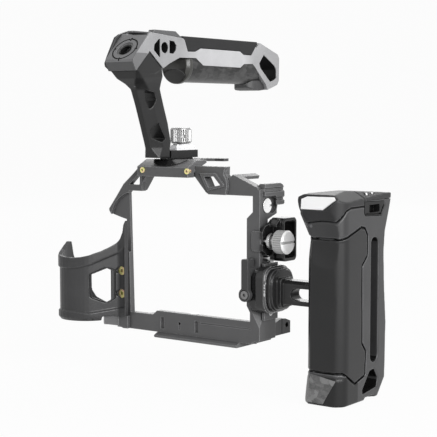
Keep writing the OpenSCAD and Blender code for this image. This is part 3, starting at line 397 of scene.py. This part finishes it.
def box_mm(x, y, z):
    """A box from three ranges in millimetres."""
    return Vector((x[0], y[0], z[0])) * mm, Vector((x[1], y[1], z[1])) * mm


def near_face(node, axis, depth):
    """A box round the outermost depth millimetres of a node at the high end of an axis."""
    low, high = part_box(node)
    margin = Vector((mm, mm, mm))
    low, high = low - margin, high + margin
    low[axis] = high[axis] - mm - depth * mm
    return low, high


# insides of the openings in the sides of the head, and of its rear ring, toned nearly black as painted shade
head_middle, pocket_reach = -9, 10.4
head_x = (head_middle - pocket_reach, head_middle + pocket_reach)
head_pockets = [box_mm(head_x, y, z) for y, z in (
    ((-42.3, -35.5), (174.6, 186.3)), ((-35.2, -27.9), (177.3, 184.7)), ((-27.2, -19.6), (177.3, 186.0)),
    ((76.5, 90.9), (162.3, 174.5)), ((69.5, 90.9), (168.5, 181.1)), ((73.5, 78.0), (165.5, 170.0)))]
# front of the head, its lower part, and the bevel at its right, toned down as painted shade where less light
# falls; the dished end of the grip sleeve, darkened as painted shade
head_front = [box_mm((-20.5, 1.3), (-62, -43.8), (160, 191))]
head_chin = [box_mm((-20.5, 1.3), (-62, -45), (160, 171.6))]
head_lip = [box_mm((1.3, 2.5), (-62, -48), (158, 177))]
end_dish = [box_mm((-19.2, -0.3), (-12, -7.6), (158.2, 169))]
# how the light falls off along the top handle, and along the cage
handle_shade = (Y, (-60, 0.6), (-16, 0.62), (2, 0.92), (52, 1.0), (64, 0.72), (95, 0.6))
cage_shade = (Y, (-40, 0.95), (-20, 0.9), (5, 0.5), (40, 0.4))
# ring groove that is turned round the socket of the head, painted nearly black as shade, and the bore of that
# socket, given painted shade, whose inner radius below 0 takes in the axis itself
head_axis = mount("head_socket")["pos_m"], mount("head_socket")["axis"]
head_groove = head_front, (*head_axis, 7.9, 8.9)
head_bore = (*head_axis, -1, 4.1)
# long slot in the side of the side handle, and its front beside the foot insert, both toned down as painted
# shade
handle_slots = [box_mm((119.5, 127.4), (2.6, 10.4), (-3.9, 68.9)),
                box_mm((100, 127.4), (-6.5, 10.8), (-21.3, -8.7))]
foot_side = [box_mm((110, 130), (-33, -12), (-27, -8.5))]

# what follows the name is, for anodised, the tone; for turned, the tone, roughness and axis; for moulded, the tone,
# roughness and gloss; for forged, the dark and the pale tone and the size of the flakes
looks = {
    "cage": anodised("cage", 0.10, rough=0.36, gloss=0.35, edge=3.2, edge_width=0.7, shade=cage_shade),
    "arm": anodised("arm", 0.012, rough=0.34, edge=9.0, skin=True),
    "foot": anodised("foot", 0.012, gloss=0.22, edge=5.0),
    "cheek": anodised("cheek", 0.035, edge=3, skin=True),
    # the head frame: painted shade in its pockets, on its front, chin and lip, and in its ring groove
    "frame": anodised("frame", 0.44, rough=0.5, edge=1.4, shade=handle_shade, groove=head_groove,
                      areas=((0.03, head_pockets), (0.66, head_front), (0.52, head_chin), (0.5, head_lip))),
    "block": anodised("block", 0.09, skin=True),
    "stop": anodised("stop", 0.05, skin=True),
    "clamp": anodised("clamp", 0.010, rough=0.22, gloss=0.5, edge=12.0, skin=True),
    "lever": anodised("lever", 0.045, edge=3, skin=True),
    "shroud": anodised("shroud", 0.012, rough=0.2, gloss=0.35, edge=10.0, skin=True),
    "bar": anodised("bar", 0.02, rough=0.22, edge=8.0, skin=True),
    "ring": anodised("ring", 0.05, rough=0.2, gloss=0.7, edge=9.0, skin=True),
    "plate": anodised("plate", 0.11, edge=2.6),
    "upper": anodised("upper", 0.8, rough=0.3, gloss=0.5, edge=1.15),
    "steel": turned("steel", 0.5, 0.28, Z),
    "steel_x": turned("steel_x", 0.5, 0.26, X),
    "knurled": turned("knurled", 0.42, 0.30, Z, metal=0.6),
    # the knob's end face painted near white, a painted reflection
    "thumb": turned("thumb", 0.5, 0.24, X, face=near_face("cable_knob", X, 1.25), metal=0.05),
    "lug": turned("lug", 0.45, 0.14, X, face=near_face("lug_screw", X, 2.0)),
    "insert": turned("insert", 0.13, 0.36, Y, metal=0.3, bore=head_bore),
    "pin": turned("pin", 0.22, 0.3, Y, metal=0.4),
    "brass": plated("brass", 0.3),
    "silicone": moulded("silicone", 0.034, 0.32, 0.35, edge=2.6),
    "rubber": moulded("rubber", 0.012, 0.34, 0.3, edge=4.0),
    "pad": moulded("pad", 0.018, 0.5, 0.2),
    # painted shade in the shell's slots and beside the foot insert
    "shell": moulded("shell", 0.032, 0.30, 0.32, edge=3.4, areas=((0.15, handle_slots), (0.2, foot_side))),
    "cap": moulded("cap", 0.024, 0.42, 0.2, edge=4.0),
    # painted shade in the dish of the sleeve's end
    "disc": moulded("disc", 0.03, 0.3, 0.35, tint=(1.05, 1.05, 0.95), coat=0.15, areas=((0.25, end_dish),)),
    "socket": moulded("socket", 0.008, 0.4, 0.2),
    "white": moulded("white", 0.9, 0.4, 0.4, size=0.3, depth=0.004, tint=(1, 1, 1), edge=1.0),
    "inlay": moulded("inlay", 0.008, 0.16, 0.3, size=0.5, depth=0.001, coat=0.3),
    "forged": forged("forged", 0.006, 0.055),
    "mottled": forged("mottled", 0.09, 0.24, 7.0),
}

finish_of = {
    "cage": "cage_frame cable_block side_rail top_rail",
    "arm": "handle_arm",
    "foot": "handle_base",
    "cheek": "head_cheek",
    "frame": "head_frame",
    "block": "head_block",
    "stop": "finger_stop",
    "clamp": "clamp_body",
    "lever": "clamp_lever",
    "shroud": "cable_shroud",
    "bar": "rotor_arm",
    "ring": "rotor_ring",
    "plate": "dovetail_plate",
    "upper": "lock_plate",
    "steel_x": "cable_stem cable_washer cable_pin rotor_shaft rotor_screw side_rail_screws",
    "thumb": "cable_knob",
    "lug": "lug_screw",
    "knurled": "lock_knob",
    "insert": "head_insert",
    "pin": "lever_pin",
    "steel": "lock_stem camera_screw plate_screws rail_screws cap_studs base_screws bar_bolt",
    "brass": "grip_screws visor_screws",
    "silicone": "side_grip",
    "pad": "top_pad",
    "rubber": "handle_rubber handle_rear_rubber",
    "disc": "sleeve_end",
    "forged": "grip_sleeve",
    "mottled": "foot_insert",
    "shell": "handle_shell",
    "cap": "handle_cap",
    "socket": "cap_socket",
    "white": "cap_plate",
    "inlay": "visor_inlay",
}
look_of = {node: look for look, names in finish_of.items() for node in names.split()}
body_of = {node: body for body, names in record["behaviour"]["bodies"].items() for node in names}


def paint(piece, look):
    piece.data.materials.clear()
    piece.data.materials.append(looks[look])


# ---- rigid parts: the solids themselves, smooth on curves and crisp at corners ----

def smooth_curves(piece):
    """Smooth shading across the facets of a curve, split at sharper corners."""
    sharpest_curve = math.radians(28)
    shade_smooth(piece.data)
    weld(piece)
    piece.modifiers.new("corners", "EDGE_SPLIT").split_angle = sharpest_curve
    piece.modifiers.new("flats", "WEIGHTED_NORMAL").keep_sharp = True


# the parts that get a skin, first the soft and moulded ones and then the cast ones: voxel in millimetres, rounds of
# smoothing, and how deep the skin lies in the solid if it isn't the usual depth
skins = {"side_grip": (0.36, 2), "handle_rubber": (0.55, 8), "handle_rear_rubber": (0.45, 3), "top_pad": (0.5, 3),
         "sleeve_end": (0.35, 3), "handle_shell": (0.55, 4), "handle_cap": (0.5, 6), "finger_stop": (0.35, 4),
         "handle_arm": (0.45, 8, 0.3), "clamp_body": (0.35, 8), "clamp_lever": (0.3, 3), "rotor_ring": (0.25, 5),
         "rotor_arm": (0.35, 5), "cable_shroud": (0.3, 2), "head_cheek": (0.35, 3), "head_block": (0.35, 2)}
for name, piece in nodes.items():
    paint(piece, look_of[name])
    if name not in skins:
        smooth_curves(piece)


# ---- soft, moulded and cast parts: rounded skins in the place of their solids ----

def soften(name, voxel, rounds, inset=0.04):
    """A skin of the solid with small even faces, its edges rounded as moulded and cast parts are. It lies inset
    millimetres inside the solid, so that it clears what slides past it."""
    piece = place(name + "_skin", nodes[name].data.copy())
    weld(piece)
    remesh = piece.modifiers.new("skin", "REMESH")
    remesh.mode = "VOXEL"
    remesh.voxel_size = voxel * mm
    remesh.use_smooth_shade = True
    smooth = piece.modifiers.new("smooth", "SMOOTH")
    smooth.factor = 0.5
    smooth.iterations = rounds
    view = bpy.context.evaluated_depsgraph_get()
    view.update()
    skin = bpy.data.meshes.new_from_object(piece.evaluated_get(view))
    piece.modifiers.clear()
    piece.data = skin
    shade_smooth(skin)
    for vertex, normal in zip(skin.vertices, [v.normal.copy() for v in skin.vertices]):
        vertex.co -= normal * (inset * mm)
    paint(piece, look_of[name])
    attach(piece, body_of[name])
    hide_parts(name)
    return piece


soft_pieces = {name: soften(name, *how) for name, how in skins.items()}


# ---- grooves of the side handle and relief of the silicone grip: outlines and sizes in millimetres ----

rubber_edge = [(-40, -5.9), (-27, -6.2), (-15.5, -13.7), (-3.9, -10.6), (-2.8, 3.5), (-7.3, 8.6), (-8.2, 53.6),
               (-2, 59.1), (-1.9, 71.2), (-4.9, 75.2), (-9.2, 76), (-28, 70.3), (-40, 69.6)]
cap_edge = [(-40, 78), (-31.3, 78.5), (-30.4, 80.2), (-25.6, 86.2), (-21.5, 87.6), (-5.8, 87.8), (-5.8, 100),
            (-40, 100)]
front_panel = [(-36.2, 56), (-41, 52.2), (-46, 48.6), (-51, 45.2), (-58, 43.2), (-66, 42.8), (-90, 42.8),
               (-90, 14.2), (-60, 14.5), (-52, 13.4), (-46, 14.5), (-36.2, 16.5)]
side_panel = [(-60, 42.8), (-42, 42.8), (-30, 50), (-24, 40), (-12, 23), (-6, 14.2), (-60, 14.2)]


def depth_inside(point, outline):
    """How far a point lies inside an outline, negative outside it."""
    x, y = point
    nearest, inside = math.inf, False
    for (x0, y0), (x1, y1) in zip(outline, outline[1:] + outline[:1]):
        dx, dy = x1 - x0, y1 - y0
        along = min(1, max(0, ((x - x0) * dx + (y - y0) * dy) / (dx * dx + dy * dy)))
        nearest = min(nearest, math.hypot(x - x0 - along * dx, y - y0 - along * dy))
        if (y0 > y) != (y1 > y) and x < x0 + (y - y0) / dy * dx:
            inside = not inside
    return nearest if inside else -nearest


def cut_groove(piece, seam, width=0.9, depth=0.8):
    """Cuts a V along a seam, which is drawn (y, z) and goes round the piece where it faces sideways or forward."""
    reach, facing = 2, 0.35
    bottom, top = min(z for _, z in seam) - reach, max(z for _, z in seam) + reach
    moves = []
    for v in piece.data.vertices:
        y, z = v.co.y / mm, v.co.z / mm
        if not bottom < z < top:
            continue
        away = abs(depth_inside((y, z), seam))
        if away < width and abs(v.normal.x) + abs(min(v.normal.y, 0)) > facing:
            moves.append((v, v.normal * (depth * (1 - away / width) * mm)))
    for v, move in moves:
        v.co -= move
    piece.data.update()


def sink_panel(piece, front, side):
    """Sinks the panel of the grip into its outer face, which leaves a rim round it, and bevels its lower edge. The
    outlines are (x, z) in front of the corner and (y, z) beside it."""
    corner_x = -70
    depth, slope_width = 1.0, 0.7
    bevel_z, bevel_height, bevel_slope = 8.4, 2.2, 0.8
    wall = 2.4
    plain_low, plain_high = 16, 42
    mesh = piece.data
    spots = [v.co / mm for v in mesh.vertices]

    # the outer face, from the vertices of its plain part that face left or forward with nothing in front of them
    tree = BVHTree.FromPolygons([v.co for v in mesh.vertices], [f.vertices[:] for f in mesh.polygons])
    start, sight = 0.1 * mm, 60 * mm
    outer = []
    for v, spot in zip(mesh.vertices, spots):
        n = v.normal
        if abs(n.z) < 0.2 and min(n.x, n.y) < -0.4 and plain_low < spot.z < plain_high \
                and tree.ray_cast(v.co + n * start, n, sight)[0] is None:
            outer.append((Vector((spot.x, spot.y, 0)), Vector((n.x, n.y, 0)).normalized()))
    near = KDTree(len(outer))
    for i, (spot, _) in enumerate(outer):
        near.insert(spot, i)
    near.balance()

    # the inner face stays, and the outer one moves in
    for v, spot in zip(mesh.vertices, spots):
        _, i, away = near.find(Vector((spot.x, spot.y, 0)))
        keep = max(0.0, 1 - away / wall)
        sink = depth_inside((spot.x, spot.z), front) if spot.x > corner_x else depth_inside((spot.y, spot.z), side)
        bevel = max(0.0, bevel_height - (spot.z - bevel_z)) * bevel_slope
        move = depth * min(1.0, max(0.0, sink / slope_width)) + bevel
        v.co -= outer[i][1] * (move * keep * mm)
    mesh.update()


for name in ("handle_rubber", "handle_shell"):
    cut_groove(soft_pieces[name], rubber_edge)
for name in ("handle_shell", "handle_cap"):
    cut_groove(soft_pieces[name], cap_edge, 0.7, 0.5)
sink_panel(soft_pieces["side_grip"], front_panel, side_panel)

# fewer faces where the skins are flat
for piece in soft_pieces.values():
    piece.modifiers.new("thin", "DECIMATE").ratio = 0.5
    piece.modifiers.new("flats", "WEIGHTED_NORMAL").weight = 60


# ---- threads ----

def thread(name, hole, pitch, depth, carrier):
    """The ridge of a screw thread inside a threaded hole of the record, in the finish of the node around it. The
    pitch and depth are millimetres."""
    row = mount(hole)
    pitch, depth = pitch * mm, depth * mm
    axis = Vector(row["axis"]).normalized()
    radius = row["dims"]["r_mm"] * mm
    length = row["dims"]["length_mm"] * mm
    side = axis.orthogonal().normalized()
    across = axis.cross(side)
    start = Vector(row["pos_m"]) + axis * (0.1 * mm)
    free_end, per_turn = 0.5 * mm, 32
    steps = int((length - 2 * free_end - pitch) / pitch * per_turn)
    # profile of the ridge: radius, and height as a share of the pitch; its foot is sunk in the wall
    foot, foot_half, crest, crest_half = radius + 0.05 * mm, 0.42, radius - depth, 0.08
    ridge = ((foot, -foot_half), (crest, -crest_half), (crest, crest_half), (foot, foot_half))
    verts = []
    for step in range(steps + 1):
        turn = step * 2 * math.pi / per_turn
        out = side * math.cos(turn) + across * math.sin(turn)
        height = free_end + pitch * (0.5 + step / per_turn)
        verts += [start + out * r + axis * (height + pitch * share) for r, share in ridge]
    n = len(ridge)
    faces = [(n * s + i, n * s + (i + 1) % n, n * s + n + (i + 1) % n, n * s + n + i)
             for s in range(steps) for i in range(n)]
    faces += [tuple(range(n))[::-1], tuple(range(n * steps, n * steps + n))]
    mesh = bpy.data.meshes.new(name)
    mesh.from_pydata(verts, [], faces)
    piece = place(name, mesh)
    paint(piece, look_of[carrier])
    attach(piece, body_of[carrier])


thread("head_thread", "head_socket", 1.5875, 0.45, "head_insert")
thread("tripod_thread", "tripod_socket", 1.27, 0.35, "camera_screw")
thread("block_thread", "rear_block_hole", 0.7, 0.2, "cage_frame")


# ---- floor, light and camera ----

# the camera that was fitted to the photo: its place, and how far it is turned and looks down
photo_px, focal_px, sensor_width = 437, 1250, 36.0
eye_place = (0.4852, -0.6296, 0.1400)
eye_turn = math.radians(36.5)
eye_tilt = math.radians(90 - 4.73)
# what the lamps point at
middle = Vector((0.03, 0, 0.08))


def seen_share(tree, strength):
    """Strength for what the camera, a reflection or a see-through part shows, and 0 for the light that falls."""
    path = tree.nodes.new("ShaderNodeLightPath")
    value = path.outputs["Is Camera Ray"]
    for ray in ("Is Glossy Ray", "Is Transmission Ray"):
        either = tree.nodes.new("ShaderNodeMath")
        either.operation = "MAXIMUM"
        tree.links.new(value, either.inputs[0])
        tree.links.new(path.outputs[ray], either.inputs[1])
        value = either.outputs[0]
    share = tree.nodes.new("ShaderNodeMath")
    share.operation = "MULTIPLY"
    share.inputs[1].default_value = strength
    tree.links.new(value, share.inputs[0])
    return share.outputs[0]


def lit_and_seen(tree, lit, seen, strength, output):
    """One shader for the light that it gives, and another, at some strength, for what is seen of it."""
    both = tree.nodes.new("ShaderNodeMixShader")
    out = tree.nodes.new("ShaderNodeOutput" + output)
    tree.links.new(seen_share(tree, strength), both.inputs["Fac"])
    tree.links.new(lit.outputs[0], both.inputs[1])
    tree.links.new(seen.outputs[0], both.inputs[2])
    tree.links.new(both.outputs[0], out.inputs["Surface"])


def studio():
    """A pale floor that curves up into a backdrop. The camera sees it white, with the object's faint shadow."""
    floor_z = cad_box[0][Z] - 0.5 * mm
    ahead, behind, half_width = 3.0, -1.6, 4
    bend, bend_steps, height = 0.8, 12, 3.2
    profile = [(ahead, 0.0), (behind, 0.0)]
    for step in range(1, bend_steps + 1):
        turn = math.radians(step * 90 / bend_steps)
        profile.append((behind - bend * math.sin(turn), bend - bend * math.cos(turn)))
    profile.append((behind - bend, height))
    away = Vector((math.sin(eye_turn), -math.cos(eye_turn), 0))
    side = Vector((math.cos(eye_turn), math.sin(eye_turn), 0))
    verts = [away * d + side * s + Vector((0, 0, floor_z + z)) for d, z in profile for s in (-half_width, half_width)]
    faces = [(2 * i, 2 * i + 1, 2 * i + 3, 2 * i + 2) for i in range(len(profile) - 1)]
    mesh = bpy.data.meshes.new("floor")
    mesh.from_pydata(verts, [], faces)
    shade_smooth(mesh)
    floor = place("floor", mesh)
    look = bpy.data.materials.new("floor")
    look.use_nodes = True
    tree = look.node_tree
    tree.nodes.clear()
    matt = tree.nodes.new("ShaderNodeBsdfDiffuse")
    matt.inputs["Color"].default_value = rgba(0.6)
    glow = tree.nodes.new("ShaderNodeEmission")
    glow.inputs["Strength"].default_value = 1.0
    lit_and_seen(tree, matt, glow, 0.96, "Material")
    mesh.materials.append(look)


def sky(strength):
    """Even light from all round, of which the camera sees only white."""
    world = bpy.data.worlds.new("studio")
    bpy.context.scene.world = world
    world.use_nodes = True
    tree = world.node_tree
    tree.nodes.clear()
    ambient = tree.nodes.new("ShaderNodeBackground")
    ambient.inputs["Strength"].default_value = strength
    white = tree.nodes.new("ShaderNodeBackground")
    white.inputs["Strength"].default_value = 1.0
    for light in (ambient, white):
        light.inputs["Color"].default_value = rgba(1)
    lit_and_seen(tree, ambient, white, 1.0, "World")


def lamp(name, direction, distance, size, watts):
    """A soft lamp that points at the middle of the part. Its size is (width, height)."""
    light = bpy.data.lights.new(name, "AREA")
    light.shape = "RECTANGLE"
    light.size, light.size_y = size
    light.energy = watts
    holder = place(name, light)
    way = Vector(direction).normalized()
    holder.location = middle + way * distance
    holder.rotation_euler = way.to_track_quat("Z", "Y").to_euler()


camera = bpy.data.cameras.new("camera")
camera.sensor_width = sensor_width
camera.lens = focal_px / photo_px * sensor_width
camera.clip_start = 0.01
eye = place("camera", camera)
eye.location = eye_place
eye.rotation_euler = (eye_tilt, 0, eye_turn)
bpy.context.scene.camera = eye
bpy.context.scene.view_settings.view_transform = "Standard"

studio()
sky(0.2)
lamp("key", (0.93, -0.2, 0.32), 1.3, (0.5, 0.9), 13.5)
lamp("fill", (-0.2, -0.9, 0.35), 1.6, (1.2, 1.2), 1.5)
lamp("kick", (0.8, -0.6, 0.25), 1.3, (0.25, 0.6), 8)
lamp("top", (0.1, 0.15, 1), 1.4, (0.8, 0.8), 4)
lamp("rear", (-0.5, 0.9, 0.5), 1.6, (1.0, 1.0), 8)
